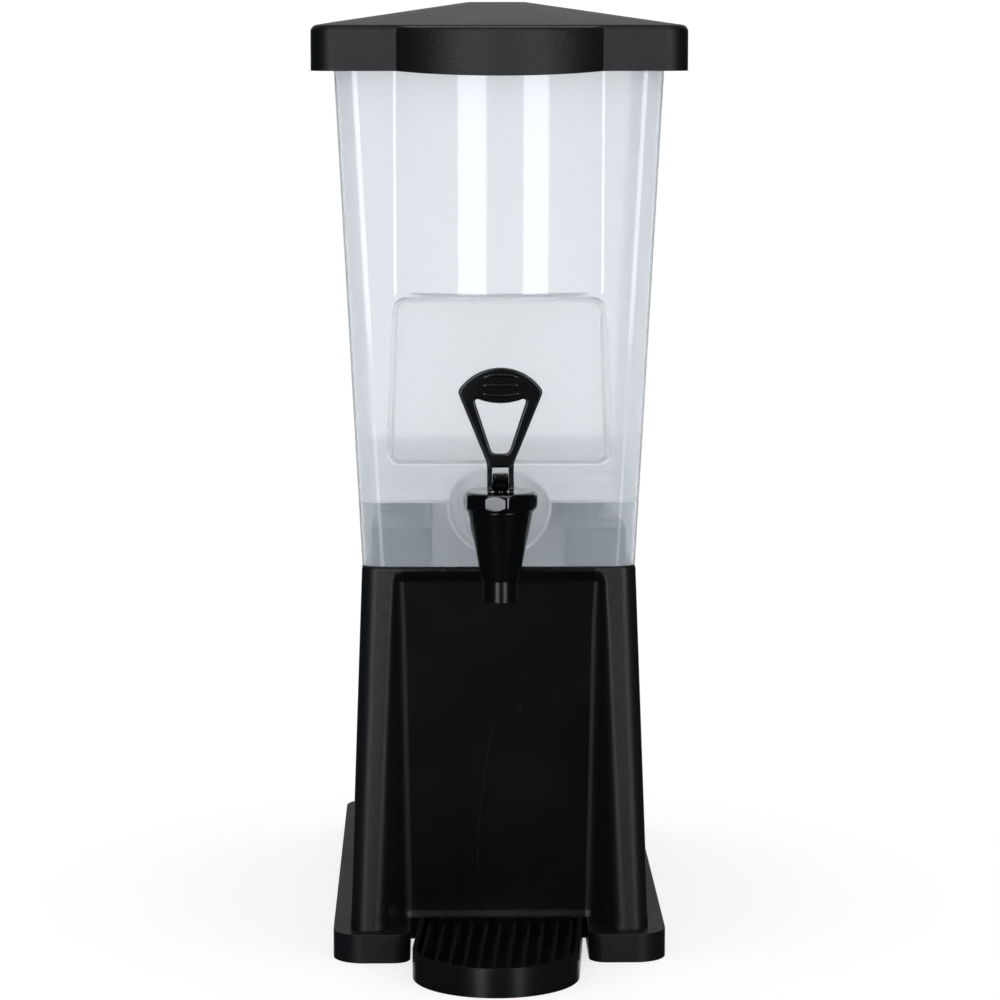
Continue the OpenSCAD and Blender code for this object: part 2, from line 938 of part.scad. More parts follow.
module outer_gasket() {
    color([0.12, 0.12, 0.125])
        on_tap()
            along_shank(flange_y)
                washer(gasket_r, shank_r, gasket_t);
}

module inner_gasket() {
    color([0.12, 0.12, 0.125])
        on_tap()
            along_shank(tap_reach + pad_l)
                washer(gasket_r, shank_r, gasket_t);
}

module shank_nut() {
    color([0.06, 0.06, 0.065])
        on_tap()
            along_shank(tap_reach + pad_l + gasket_t)
                difference() {
                    cylinder(d = nut_w, h = nut_t, $fn = 6);
                    translate([0, 0, -over])
                        cylinder(r = shank_r, h = nut_t + 2 * over);
                }
}

base_housing();
drip_tray();
container();
lid();
tap_body();
tap_bonnet();
tap_stem();
tap_handle();
handle_pin();
seat_cup();
stem_spring();
outer_gasket();
inner_gasket();
shank_nut();
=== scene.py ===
"""A countertop juice dispenser: its moulded pieces, their finishes, a plain studio and the camera."""

import math

import bmesh
import bpy
from mathutils import Matrix, Vector


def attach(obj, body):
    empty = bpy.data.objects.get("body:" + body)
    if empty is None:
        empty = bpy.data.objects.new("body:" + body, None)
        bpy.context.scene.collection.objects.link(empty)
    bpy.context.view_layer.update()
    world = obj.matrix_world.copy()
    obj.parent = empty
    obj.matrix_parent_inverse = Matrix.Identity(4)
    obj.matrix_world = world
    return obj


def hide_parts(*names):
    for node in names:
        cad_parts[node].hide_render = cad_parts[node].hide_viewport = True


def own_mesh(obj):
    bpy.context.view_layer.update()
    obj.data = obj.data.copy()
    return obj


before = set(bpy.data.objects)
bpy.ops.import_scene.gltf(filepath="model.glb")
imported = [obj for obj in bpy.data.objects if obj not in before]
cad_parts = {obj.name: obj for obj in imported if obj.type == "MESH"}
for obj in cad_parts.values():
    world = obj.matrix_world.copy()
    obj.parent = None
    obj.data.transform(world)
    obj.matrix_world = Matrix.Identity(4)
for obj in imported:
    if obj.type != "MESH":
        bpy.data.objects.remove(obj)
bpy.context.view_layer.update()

# Shapes are drawn in millimetres and degrees, and scaled to metres when they become pieces.
MM = 0.001
# Points closer than this count as one place.
NEAR = 0.01
# Steps of a rounded plan corner, of a fillet, of a small rounded edge and of a turned shape
CORNER_STEPS = 8
FILLET_STEPS = 6
EDGE_STEPS = 4
ROUND_STEPS = 64
# A thin wall's rim: how far it is rounded, and the angle from which an edge belongs to it
WALL_RIM_R = 0.5
WALL_RIM_ANGLE = 60
# How near points are merged at a turned shape's seam and in a CAD node, whose flat faces are then joined
SEAM_MERGE = 0.001
CAD_MERGE = 0.002
CAD_FLAT_ANGLE = 1
# The stand's middle lies this far behind the origin.
BODY_Y = 39.0

# Container: half its width and depth at its lower edge, its height, and how far its walls lean out.
DECK_Z = 231.0
TANK_HALF_W = 80.5
TANK_HALF_D = 159.5
TANK_H = 311.0
TANK_LEAN = 15.8 / TANK_H
TANK_WALL = 3.0
TANK_CORNER_R = 14.0
RIM_W = 5.0
RIM_T = 3.5
RIM_EDGE_R = 0.8
# The bowed front starts above the sunk panel.
BOW_LOW = 159.0
BOW_HALF_W = 58.0
BOW_REACH = 22.0
BOW_STEPS = 20
PANEL_LOW = 61.5
PANEL_HIGH = 156.5
PANEL_LOW_HALF_W = 63.5
PANEL_HIGH_HALF_W = 59.5
PANEL_DEPTH = 6.0
PANEL_CORNER_R = 6.0
# How softly the bow and the panel meet the wall, and the wall's thickness as it shows
BOW_BLEND = 3
SHELF_BLEND = 4.5
PANEL_BLEND = 3.0
SKIN_T = 1.8
# Where the front is drawn more finely: across, and up from the container's lower edge
FRONT_X = [*range(0, 50, 5), *range(50, 67)]
FRONT_Z = [
    0, 15, 30, 45, 56, *(58 + 0.6 * i for i in range(13)), 70, 90, 110, 130, 146,
    *(150 + 0.5 * i for i in range(33)), 172, 185, 205, 230, 260, 285, 300, 307.5,
]
# The floor slopes to the tap through a scoop.
FLOOR_TOP = 39.5
FLOOR_T = 3.0
SCOOP_R = 29.0
SCOOP_L = 146.0
SCOOP_SEGMENTS = (48, 30)
SCOOP_EDGE_R = 1.0
STUB_R = 9.5
STUB_X = 48.5
STUB_Y = 131.0
STUB_LOW = 22.0
STUB_WALL = 2.5
STUB_EDGE_R = 0.5
STUB_STEPS = 48
PAD_R = 19.0
PAD_HOLE_R = 8.6
PAD_L = 7.0
PAD_EDGE_R = 0.8
PAD_FRONT_Y = -123.85
SHANK_Z = 257.5

# Lid: its plan, its skirt, which hangs lower in the middle of the bow, and its hipped roof.
RIM_Z = DECK_Z + TANK_H
LID_HALF_W = 108.0
LID_HALF_D = 187.0
LID_CORNER_R = 14.0
LID_BOW_HALF_W = 59.0
LID_SKIRT = 25.0
LID_BOW_DIP = 2.2
LID_WALL = 3.0
ROOF_BORDER = 3.0
EAVE_R = 2.8
EAVE_STEPS = 5
LID_EDGE_R = 1.2
ROOF_STEP = 1.0
ROOF_RISE = 13.0
ROOF_RUN = 88.5
ROOF_CORNER_R = 11.0
RIDGE_BOW_HALF_W = 4.0

# Stand: its outline at the deck and at the plinth, and the cup niche in its front.
PLINTH_H = 17.0
FOOT_HALF_W = 88.0
FOOT_HALF_D = 178.0
STAND_CORNER_R = 9.5
STAND_WALL = 3.0
DECK_EDGE_R = 2.4
NICHE_TOP = 228.0
NICHE_LOW_BACK = 56.5
NICHE_LOW_DEPTH = 33.0
NICHE_TOP_BACK = 59.5
NICHE_TOP_DEPTH = 5.0
NICHE_SPLAY = 0.34
# The niche's edges are rounder below than above, its top closes softly and its foot has a small lip.
NICHE_MOUTH_R = (10.0, 4.0)
NICHE_BACK_R = (7.0, 6.0)
NICHE_CLOSING = 7.0
NICHE_LIP = 1.2
NICHE_LIP_H = 5.0
NICHE_LEVELS = 8
# The share of the niche's side that its two fillets may fill, and how far out its smooth finish goes, whose
# darker colour is painted shade
NICHE_FILL = 0.95
NICHE_SHADE_HALF_W = 50.0
PLINTH_HALF_W = 98.0
PLINTH_HALF_D = 188.0
PLINTH_CORNER_R = 18.0
PLINTH_EDGE_R = 2.6
BAY_HALF_W = 52.5
BAY_BACK = 58.0
FOOT_ROUND = 10.0
HOLLOW_EDGE = 14.0
POST_W = 36.0
POST_D = 46.0
POST_H = 22.0
POST_R = 6.0
POST_EDGE_R = 1.5
POST_X = 57.0
POST_Y = 131.0

# Tap: radii and heights from the crossing of the spout's and the shank's axes.
TAP_Y = -163.846
SPOUT_STEPS = 72
SPOUT_EDGE_R = 0.25
SPOUT_EDGE_ANGLE = 20
SHANK_EDGE_R = 0.6
SPOUT_PROFILE = [
    (6.5, -39.8), (9.9, -39.8), (9.9, -27.5), (10.8, -27.5), (18.7, 12.3), (19.2, 12.5), (19.2, 13.3),
    (15.5, 13.3), (15.5, 19.8), (12.5, 19.8), (12.5, -7.0), (10.5, -11.5), (6.5, -11.5),
]
SHANK_PROFILE = [
    (6.0, 13.0), (11.0, 13.0), (11.0, 33.5), (17.0, 33.5), (17.0, 37.5), (9.5, 37.5), (9.5, 61.5), (6.0, 61.5),
]
BONNET_SIDES = 10
BONNET_R = 21.6
BONNET_LOW = 13.3
BONNET_TURN = 8.0
BONNET_FACET_STEPS = 12
# The circle that cuts the bonnet's corners at each height above its foot
BONNET_CUT = [
    (0.0, 19.9), (0.5, 20.3), (1.2, 20.8), (2.0, 21.3), (3.0, 21.7), (7.7, 21.7), (8.7, 21.1), (9.5, 20.5),
    (10.1, 19.9), (10.5, 19.3), (10.7, 18.6), (10.7, 4.3), (8.2, 4.3), (8.2, 16.0), (0.0, 16.0),
]

# Handle: outlines as x, height above the pin and corner radius, the fork's legs and the grip's ribs.
PIN_Z = 284.5
HANDLE_T = 5.0
HANDLE_EDGE_R = 1.3
GRIP_ARC_R = 28.87
GRIP_ARC_Z = 38.93
GRIP_ARC_FROM = 38
GRIP_ARC_STEPS = 13
LOOP_HALF = [(7.65, 10.4, 1.4), (7.9, 13.4, 5.0), (24.5, 54.2, 4.0)]
HOLE_HALF = [(4.7, 18.4, 3.8), (15.4, 50.95, 1.5), (10.0, 48.86, 0), (5.0, 47.76, 0)]
HOLE_TOP = (0.0, 47.4, 0)
FORK_GAP = 9.3
FORK_LEG_W = 3.0
FORK_TOP = 11.6
FORK_EDGE_R = 0.5
CAM_R = 2.8
CAM_RISE = 5.0
CAM_TURN = 45
HEEL_TURN = 108
CAM_STEPS = 9
GRIP_RIBS = [(52.4, -1.6), (57.6, 0.0), (62.8, 1.6)]
GRIP_RIB_HALF_L = 11.0
GRIP_RIB_HALF_W = 0.9
GRIP_RIB_H = 0.7
GRIP_RIB_STEPS = 24
GRIP_RIB_FADE = 8
GRIP_RIB_END = 0.02
# The stem's head: its half width, half depth and corner radius, its lower and upper heights and the rounding
# of its top; then the tray's rounded edge
STEM_HEAD = (4.5, 3.9, 1.6)
STEM_HEAD_Z = (281.9, 291.6)
STEM_HEAD_R = 1.2
TRAY_EDGE_R = 0.8


def arc_radius(half_chord, rise):
    return (half_chord**2 + rise**2) / (2 * rise)


def bow_out(x, half_w):
    """How far a bowed front stands out at x."""
    r = arc_radius(half_w, BOW_REACH)
    return math.sqrt(max(r * r - x * x, 0)) - (r - BOW_REACH)


def quarter_turn(steps):
    """Angles from 0 to 90 degrees."""
    return [math.radians(90 * i / steps) for i in range(steps + 1)]


def closed_edges(bm, ring):
    return [bm.edges.new((ring[i - 1], ring[i])) for i in range(len(ring))]


def points_in(geom):
    return [g for g in geom if isinstance(g, bmesh.types.BMVert)]


def boundary_above(bm, z):
    return [e for e in bm.edges if e.is_boundary and min(v.co.z for v in e.verts) > z]


def round_edges(bm, edges, offset, segments):
    bmesh.ops.bevel(
        bm, geom=edges, offset=offset, offset_type="OFFSET", segments=segments, profile=0.5,
        affect="EDGES", material=-1, clamp_overlap=True,
    )


def loft(bm, rings):
    """Faces between loops of points that match one to one."""
    for low, high in zip(rings, rings[1:]):
        for i in range(len(low)):
            bm.faces.new((low[i - 1], low[i], high[i], high[i - 1]))


def add_piece(name, bm, body, finish, stands_for=()):
    """Turns a shape in millimetres into a smooth piece that rides a body."""
    bmesh.ops.scale(bm, vec=(MM, MM, MM), verts=bm.verts)
    mesh = bpy.data.meshes.new(name)
    bm.to_mesh(mesh)
    bm.free()
    mesh.shade_smooth()
    mesh.materials.append(finish)
    piece = bpy.data.objects.new(name, mesh)
    bpy.context.scene.collection.objects.link(piece)
    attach(piece, body)
    if stands_for:
        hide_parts(*stands_for)
    return piece


def soft_edges(piece, width, segments=3, angle=30):
    bevel = piece.modifiers.new("soft edges", "BEVEL")
    bevel.width = width * MM
    bevel.segments = segments
    bevel.limit_method = "ANGLE"
    bevel.angle_limit = math.radians(angle)
    bevel.harden_normals = False


def keep_flats(piece):
    """Keeps broad faces flat in the shading beside rounded edges."""
    flats = piece.modifiers.new("flat faces", "WEIGHTED_NORMAL")
    flats.weight = 50
    flats.keep_sharp = False


def round_solid(piece, width, angle=30):
    soft_edges(piece, width, angle=angle)
    keep_flats(piece)


def thin_wall(piece, thickness, inside=0):
    """Gives an open shell its wall and rounds the wall's rim. Inside is the step to the inner finish."""
    wall = piece.modifiers.new("wall", "SOLIDIFY")
    wall.material_offset = inside
    wall.thickness = thickness * MM
    wall.offset = -1
    wall.use_even_offset = False
    soft_edges(piece, WALL_RIM_R, 2, WALL_RIM_ANGLE)
    keep_flats(piece)


def cad_shape(node):
    """The merged shape of a CAD node, in millimetres, with each flat face whole."""
    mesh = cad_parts[node].data
    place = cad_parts[node].matrix_world
    bm = bmesh.new()
    verts = [bm.verts.new(place @ v.co / MM) for v in mesh.vertices]
    for polygon in mesh.polygons:
        bm.faces.new([verts[i] for i in polygon.vertices])
    bmesh.ops.remove_doubles(bm, verts=bm.verts, dist=CAD_MERGE)
    bmesh.ops.dissolve_limit(bm, angle_limit=math.radians(CAD_FLAT_ANGLE), verts=bm.verts, edges=bm.edges)
    bmesh.ops.recalc_face_normals(bm, faces=bm.faces)
    return bm


def blend(share):
    """A soft step from 0 to 1."""
    share = min(max(share, 0), 1)
    return share * share * (3 - 2 * share)


def rounded_corners(half_w, half_d, r, steps):
    """Points of a rounded plan, corner by corner from the back right, turning left."""
    corners = []
    for sx, sy, start in [(1, 1, 0), (-1, 1, 90), (-1, -1, 180), (1, -1, 270)]:
        turns = [math.radians(start + 90 * i / steps) for i in range(steps + 1)]
        x, y = sx * (half_w - r), sy * (half_d - r)
        corners.append([(x + r * math.cos(a), y + r * math.sin(a)) for a in turns])
    return corners


def soft_bow(x):
    """How far the container's bow stands out at x, with its ends drawn smoothly into the wall."""
    spread = range(-BOW_BLEND, BOW_BLEND + 1)
    near = [abs(x + i) for i in spread]
    return sum(bow_out(a, BOW_HALF_W) for a in near if a < BOW_HALF_W) / len(spread)


def in_panel(x, z):
    """How fully a point of the front lies in the sunk panel, from 0 to 1."""
    up = (z - PANEL_LOW) / (PANEL_HIGH - PANEL_LOW)
    half_w = PANEL_LOW_HALF_W + (PANEL_HIGH_HALF_W - PANEL_LOW_HALF_W) * up
    across = abs(x) - half_w + PANEL_CORNER_R
    along = abs(z - (PANEL_LOW + PANEL_HIGH) / 2) - (PANEL_HIGH - PANEL_LOW) / 2 + PANEL_CORNER_R
    outside = math.hypot(max(across, 0), max(along, 0)) + min(max(across, along), 0) - PANEL_CORNER_R
    return blend(0.5 - outside / PANEL_BLEND)


def container_skin():
    """The container's wall, with its bowed front and its sunk panel."""
    bm = bmesh.new()
    front_x = [-x for x in FRONT_X[:0:-1]] + FRONT_X
    bow = {x: soft_bow(x) for x in front_x}
    rings = []
    for z in FRONT_Z:
        w, d = TANK_HALF_W + TANK_LEAN * z, TANK_HALF_D + TANK_LEAN * z
        back_right, back_left, front_left, front_right = rounded_corners(w, d, TANK_CORNER_R, CORNER_STEPS)
        bowed = blend((z - BOW_LOW) / SHELF_BLEND + 0.5)
        front = [(x, PANEL_DEPTH * in_panel(x, z) - d - bowed * bow[x]) for x in front_x]
        plan = back_right + back_left + front_left + front + front_right
        rings.append([bm.verts.new((x, y, z)) for x, y in plan])
    loft(bm, rings)
    bmesh.ops.recalc_face_normals(bm, faces=bm.faces)
    bmesh.ops.translate(bm, vec=(0, BODY_Y, DECK_Z), verts=bm.verts)
    return bm


def walk(edges):
    """The points of a closed run of edges, in order."""
    beside = {}
    for e in edges:
        for v in e.verts:
            beside.setdefault(v, []).append(e.other_vert(v))
    run = [edges[0].verts[0], edges[0].verts[1]]
    while True:
        following = next(v for v in beside[run[-1]] if v is not run[-2])
        if following is run[0]:
            return run
        run.append(following)


def container_rim(wall):
    """The flange round the container's top edge, which stands on its wall."""
    top = [v.co.copy() for v in walk(boundary_above(wall, DECK_Z + TANK_H / 2))]
    bm = bmesh.new()
    section = [(-TANK_WALL, -RIM_T), (RIM_W, -RIM_T), (RIM_W, 0), (-TANK_WALL, 0)]
    rings = [[] for _ in section]
    for i, p in enumerate(top):
        along = top[(i + 1) % len(top)] - top[i - 1]
        out = Vector((along.y, -along.x, 0)).normalized()
        if out.dot(p - Vector((0, BODY_Y, p.z))) < 0:
            out.negate()
        for ring, (reach, z) in zip(rings, section):
            ring.append(bm.verts.new((p.x + out.x * reach, p.y + out.y * reach, RIM_Z + z)))
    loft(bm, rings + rings[:1])
    bmesh.ops.recalc_face_normals(bm, faces=bm.faces)
    return bm


def container_floor():
    """The floor, with half of a long round scoop sunk in it whose deep end is at the tap."""
    bm = bmesh.new()
    across, up = SCOOP_SEGMENTS
    bmesh.ops.create_uvsphere(bm, u_segments=across, v_segments=up, radius=1)
    bmesh.ops.scale(bm, vec=(SCOOP_R, SCOOP_L, SCOOP_R), verts=bm.verts)
    lip = FLOOR_T
    for co, no, dist in [((0, 0, lip), (0, 0, 1), 0), ((0, 0, 0), (0, -1, 0), NEAR)]:
        whole = bm.verts[:] + bm.edges[:] + bm.faces[:]
        bmesh.ops.bisect_plane(bm, geom=whole, plane_co=co, plane_no=no, dist=dist, clear_outer=True)
    lean = TANK_LEAN * FLOOR_TOP
    half_w = TANK_HALF_W + lean - TANK_WALL / 2
    half_d = TANK_HALF_D + lean - TANK_WALL / 2
    bmesh.ops.translate(bm, vec=(0, -half_d, 0), verts=bm.verts)
    edge = [v for v in bm.verts if v.co.z > lip - NEAR]
    edge.sort(key=lambda v: math.atan2(v.co.x, v.co.y + half_d))
    back_right, back_left, front_left, front_right = rounded_corners(
        half_w, half_d, TANK_CORNER_R - TANK_WALL / 2, CORNER_STEPS,
    )
    rim = front_right + back_right + back_left + front_left
    bm.faces.new(edge + [bm.verts.new((x, y, lip)) for x, y in rim])
    bmesh.ops.recalc_face_normals(bm, faces=bm.faces)
    if max(bm.faces, key=lambda f: f.calc_area()).normal.z < 0:
        bmesh.ops.reverse_faces(bm, faces=bm.faces)
    bmesh.ops.translate(bm, vec=(0, BODY_Y, DECK_Z + FLOOR_TOP - lip), verts=bm.verts)
    return bm


def spun(profile, steps=ROUND_STEPS):
    """A shape turned about the upright axis from points (radius, height), closed on itself."""
    bm = bmesh.new()
    ring = [bm.verts.new((r, 0, z)) for r, z in profile]
    geom = ring + closed_edges(bm, ring)
    bmesh.ops.spin(bm, geom=geom, cent=(0, 0, 0), axis=(0, 0, 1), angle=math.tau, steps=steps, use_merge=True)
    bmesh.ops.remove_doubles(bm, verts=bm.verts, dist=SEAM_MERGE)
    bmesh.ops.recalc_face_normals(bm, faces=bm.faces)
    return bm


def lay_back(bm, y):
    """Turns a spun shape so that its axis runs back from y at the height of the shank."""
    bmesh.ops.rotate(bm, cent=(0, 0, 0), matrix=Matrix.Rotation(math.radians(-90), 3, "X"), verts=bm.verts)
    bmesh.ops.translate(bm, vec=(0, y, SHANK_Z), verts=bm.verts)


def lid_ring(bm, inset, r, z, front_x):
    """A loop round the lid, with one point at each end of the bow."""
    w, d = LID_HALF_W - inset, LID_HALF_D - inset
    back_right, back_left, front_left, front_right = rounded_corners(w, d, r, CORNER_STEPS)
    points = back_right + back_left + front_left + [(-front_x, -d), (front_x, -d)] + front_right
    return [bm.verts.new((x, y, z)) for x, y in points]


def lid_shell():
    """The hipped roof, the flat top of the bow and the skirt, as a shell that is open below."""
    bm = bmesh.new()
    eave = lid_ring(bm, 0, LID_CORNER_R, LID_WALL, LID_BOW_HALF_W)
    foot = lid_ring(bm, ROOF_BORDER, ROOF_CORNER_R, LID_WALL + ROOF_STEP, LID_BOW_HALF_W)
    top = LID_WALL + ROOF_STEP + ROOF_RISE
    ridge = lid_ring(bm, ROOF_BORDER + ROOF_RUN, ROOF_CORNER_R, top, RIDGE_BOW_HALF_W)
    loft(bm, [eave, foot, ridge])
    bm.faces.new(ridge)
    # The flat top of the bow, between its left end and the next point of the eave
    left = next(i for i, v in enumerate(eave) if abs(v.co.x + LID_BOW_HALF_W) < NEAR and v.co.y < 0)
    chord = bm.edges.get((eave[left], eave[left + 1]))
    arc = []
    for i in range(1, BOW_STEPS):
        x = LID_BOW_HALF_W * (2 * i / BOW_STEPS - 1)
        arc.append(bm.verts.new((x, eave[left].co.y - bow_out(x, LID_BOW_HALF_W), LID_WALL)))
    bm.faces.new([eave[left]] + arc + [eave[left + 1]])
    # The skirt
    rim = [e for e in bm.edges if e.is_boundary and e is not chord]
    for v in points_in(bmesh.ops.extrude_edge_only(bm, edges=rim)["geom"]):
        bowed = max(-LID_HALF_D - v.co.y, 0) / BOW_REACH
        v.co.z -= LID_SKIRT + LID_BOW_DIP * bowed
    bmesh.ops.recalc_face_normals(bm, faces=bm.faces)
    round_edges(bm, rim, EAVE_R, EAVE_STEPS)
    bmesh.ops.translate(bm, vec=(0, BODY_Y, RIM_Z), verts=bm.verts)
    return bm


def tap_pad():
    """The flat ring on both sides of the wall that the tap's gaskets press on."""
    edge = PAD_EDGE_R
    bm = spun([
        (PAD_HOLE_R, 0), (PAD_R - edge, 0), (PAD_R, edge),
        (PAD_R, PAD_L - edge), (PAD_R - edge, PAD_L), (PAD_HOLE_R, PAD_L),
    ])
    lay_back(bm, PAD_FRONT_Y)
    return bm


def container_stubs():
    """Four short tubes under the floor that stand on the posts."""
    bm = spun([
        (STUB_R - STUB_WALL, STUB_LOW), (STUB_R, STUB_LOW),
        (STUB_R, FLOOR_TOP - SKIN_T), (STUB_R - STUB_WALL, FLOOR_TOP - SKIN_T),
    ], STUB_STEPS)
    first = bm.verts[:] + bm.edges[:] + bm.faces[:]
    places = [(x, y) for x in (-STUB_X, STUB_X) for y in (-STUB_Y, STUB_Y)]
    for x, y in places[1:]:
        copy = bmesh.ops.duplicate(bm, geom=first)["geom"]
        bmesh.ops.translate(bm, vec=(x, y, 0), verts=points_in(copy))
    bmesh.ops.translate(bm, vec=(*places[0], 0), verts=points_in(first))
    bmesh.ops.translate(bm, vec=(0, BODY_Y, DECK_Z), verts=bm.verts)
    return bm


def fillet(before, corner, after, r):
    """Points of an arc that rounds a corner of an outline."""
    corner = Vector(corner)
    to_before, to_after = (Vector(before) - corner).normalized(), (Vector(after) - corner).normalized()
    half = to_before.angle(to_after) / 2
    middle = corner + (to_before + to_after).normalized() * r / math.sin(half)
    reach = r / math.tan(half)
    start, end = corner + to_before * reach - middle, corner + to_after * reach - middle
    return [tuple(middle + start.slerp(end, i / FILLET_STEPS) * r) for i in range(FILLET_STEPS + 1)]


def outline(corners):
    """A closed outline from points, each with the radius that rounds it; 0 keeps the point."""
    points = []
    for i, (x, y, r) in enumerate(corners):
        if r:
            points += fillet(corners[i - 1][:2], (x, y), corners[(i + 1) % len(corners)][:2], r)
        else:
            points.append((x, y))
    return points


def plate(bm, loops, half_t, edge_r, place):
    """A flat plate with rounded edges. The first loop turns left and its holes turn right."""
    quarter = quarter_turn(EDGE_STEPS)
    bends = [(-half_t + edge_r, -a) for a in reversed(quarter)] + [(half_t - edge_r, a) for a in quarter]
    back, front = [], []
    for loop in loops:
        points = [Vector(p) for p in loop]
        rings = []
        for middle, a in bends:
            ring = []
            for i, p in enumerate(points):
                along = points[(i + 1) % len(points)] - points[i - 1]
                out = Vector((along.y, -along.x)).normalized()
                u, v = p - out * edge_r * (1 - math.cos(a))
                ring.append(bm.verts.new(place(u, v, middle + edge_r * math.sin(a))))
            rings.append(ring)
        loft(bm, rings)
        for rim, ring in ((back, rings[0]), (front, rings[-1])):
            rim += [bm.edges.get((ring[i - 1], ring[i])) for i in range(len(ring))]
    for rim in (back, front):
        bmesh.ops.triangle_fill(bm, use_beauty=True, use_dissolve=False, edges=rim)


def stand_half(z):
    """Half the stand's width and depth at a height."""
    down = (DECK_Z - z) / (DECK_Z - PLINTH_H)
    return TANK_HALF_W + (FOOT_HALF_W - TANK_HALF_W) * down, TANK_HALF_D + (FOOT_HALF_D - TANK_HALF_D) * down


def stand_loop(bm, z, inset=0):
    """The stand's outline at a height, drawn in by the inset, with the niche let into its front."""
    w, d = [half - inset for half in stand_half(z)]
    corner_r = STAND_CORNER_R - inset
    back_right, back_left, front_left, front_right = rounded_corners(w, d, corner_r, CORNER_STEPS)
    down = (NICHE_TOP - z) / (NICHE_TOP - PLINTH_H)
    back = NICHE_TOP_BACK + (NICHE_LOW_BACK - NICHE_TOP_BACK) * down
    depth = NICHE_TOP_DEPTH + (NICHE_LOW_DEPTH - NICHE_TOP_DEPTH) * down
    depth -= NICHE_LIP * blend(1 - (z - PLINTH_H) / NICHE_LIP_H)
    splay = depth * NICHE_SPLAY
    mouth = back + splay
    radii = [high + (low - high) * down for low, high in (NICHE_MOUTH_R, NICHE_BACK_R)]
    room = math.hypot(depth, splay) / (sum(radii) * math.tan(math.atan2(depth, splay) / 2))
    mouth_r, back_r = [r * min(NICHE_FILL * room, 1) for r in radii]
    bends = [(-w, 0), (-mouth, 0), (-back, depth), (back, depth), (mouth, 0), (w, 0)]
    closing = blend((NICHE_TOP - z) / NICHE_CLOSING)
    niche = []
    for i, r in enumerate([mouth_r, back_r, back_r, mouth_r], 1):
        niche += [(x, closing * y - d) for x, y in fillet(bends[i - 1], bends[i], bends[i + 1], r)]
    return [bm.verts.new((x, y, z)) for x, y in back_right + back_left + front_left + niche + front_right]


def stand_body():
    """The legs, the niche between them and the deck, as a shell that is open below."""
    bm = bmesh.new()
    stops = [PLINTH_H, PLINTH_H + NICHE_LIP_H, NICHE_TOP - NICHE_CLOSING, NICHE_TOP]
    heights = [a + (b - a) * i / NICHE_LEVELS for a, b in zip(stops, stops[1:]) for i in range(NICHE_LEVELS)]
    rings = [stand_loop(bm, z) for z in heights + [NICHE_TOP]]
    for a in quarter_turn(FILLET_STEPS):
        rings.append(stand_loop(bm, DECK_Z - DECK_EDGE_R * (1 - math.sin(a)), DECK_EDGE_R * (1 - math.cos(a))))
    loft(bm, rings)
    deck = bm.faces.new(rings[-1])
    bmesh.ops.recalc_face_normals(bm, faces=bm.faces)
    # The niche and the band above it take a smoother finish in a darker colour: the darker colour is painted
    # shade in the recess.
    for f in bm.faces:
        middle = f.calc_center_median()
        if abs(middle.x) < NICHE_SHADE_HALF_W and middle.y < 0 and f is not deck:
            f.material_index = 1
    deck.material_index = 2
    bmesh.ops.translate(bm, vec=(0, BODY_Y, 0), verts=bm.verts)
    return bm


def stand_plinth():
    """The ledge round the stand and the two feet beside the tray's bay."""
    bm = bmesh.new()
    w, d, r = PLINTH_HALF_W, PLINTH_HALF_D, FOOT_ROUND
    back_right, back_left, front_left, front_right = rounded_corners(w, d, PLINTH_CORNER_R, CORNER_STEPS)
    mouth = [(BAY_HALF_W + r - r * math.cos(a), r - d - r * math.sin(a)) for a in quarter_turn(FILLET_STEPS)]
    right = [(BAY_HALF_W, BAY_BACK - d)] + mouth
    left = [(-x, y) for x, y in reversed(right)]
    plan = right + front_right + back_right + back_left + front_left + left
    rim = closed_edges(bm, [bm.verts.new((x, y, PLINTH_H)) for x, y in plan])
    in_w, in_front, in_back = w - HOLLOW_EDGE, BAY_BACK - d + HOLLOW_EDGE, d - HOLLOW_EDGE
    hole = [bm.verts.new((x, y, PLINTH_H)) for x, y in [
        (in_w, in_front), (in_w, in_back), (-in_w, in_back), (-in_w, in_front),
    ]]
    inner = closed_edges(bm, hole)
    bmesh.ops.triangle_fill(bm, use_beauty=True, use_dissolve=False, edges=rim + inner)
    for v in points_in(bmesh.ops.extrude_edge_only(bm, edges=rim)["geom"]):
        v.co.z = 0
    bmesh.ops.recalc_face_normals(bm, faces=bm.faces)
    round_edges(bm, rim, PLINTH_EDGE_R, EDGE_STEPS)
    bmesh.ops.translate(bm, vec=(0, BODY_Y, 0), verts=bm.verts)
    return bm


def stand_posts():
    """Four posts on the deck that hold the container in place."""
    bm = bmesh.new()
    for x in (-POST_X, POST_X):
        for y in (-POST_Y, POST_Y):
            corners = rounded_corners(POST_W / 2, POST_D / 2, POST_R, FILLET_STEPS)
            foot = [bm.verts.new((x + a, y + b, DECK_Z - STAND_WALL / 2)) for a, b in sum(corners, [])]
            top = bmesh.ops.extrude_face_region(bm, geom=[bm.faces.new(foot)])["geom"]
            bmesh.ops.translate(bm, vec=(0, 0, POST_H + STAND_WALL / 2), verts=points_in(top))
    bmesh.ops.recalc_face_normals(bm, faces=bm.faces)
    bmesh.ops.translate(bm, vec=(0, BODY_Y, 0), verts=bm.verts)
    return bm


def tap_spout():
    bm = spun(SPOUT_PROFILE, SPOUT_STEPS)
    bmesh.ops.translate(bm, vec=(0, TAP_Y, SHANK_Z), verts=bm.verts)
    return bm


def tap_shank():
    bm = spun(SHANK_PROFILE)
    lay_back(bm, TAP_Y)
    return bm


